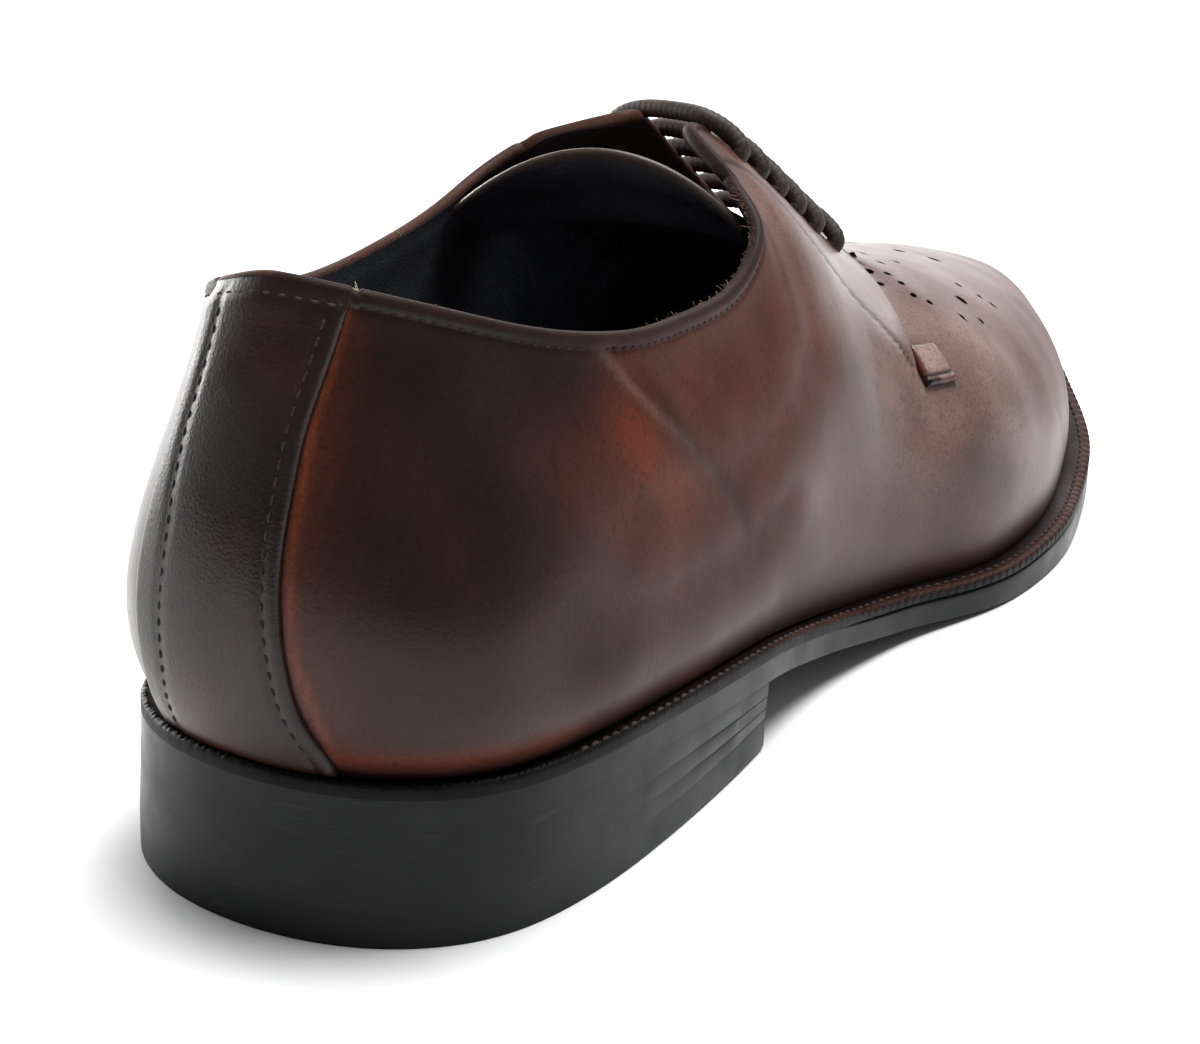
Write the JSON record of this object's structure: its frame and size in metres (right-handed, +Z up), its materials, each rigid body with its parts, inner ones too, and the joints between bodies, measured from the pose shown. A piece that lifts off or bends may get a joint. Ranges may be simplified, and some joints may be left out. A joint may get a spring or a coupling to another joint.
{
  "type": "derby shoe",
  "caption": "Right-foot derby shoe in burnished brown calf: open lacing with a waxed cord, dark heel strip, punched toe decoration, stitched welt and stacked heel.",
  "frame": {"origin": "centre of the shoe's box on the floor it stands on", "axes": "+X from heel to toe, +Y to the wearer's left, which is the inner side of this right shoe, +Z up"},
  "size_m": [0.3044, 0.0988, 0.096],
  "materials": {
    "upper_leather": "burnished calf, satin to gloss",
    "strip_leather": "near-black brown calf, gloss",
    "lining": "matt black, napped",
    "welt_leather": "dark brown, stitched, satin",
    "sole_edge": "black edge dressing, satin",
    "top_lift": "black, fine moulded grain",
    "lace_cord": "round woven cord, waxed"
  },
  "bodies": {
    "root": {"upper": "upper_leather", "back_strip": "strip_leather", "tongue": "upper_leather", "tack_outer": "upper_leather", "tack_inner": "upper_leather", "insole": "lining", "welt": "welt_leather", "outsole": "sole_edge", "heel_stack": "sole_edge", "top_lift": "top_lift", "laces": "lace_cord"}
  },
  "joints": []
}
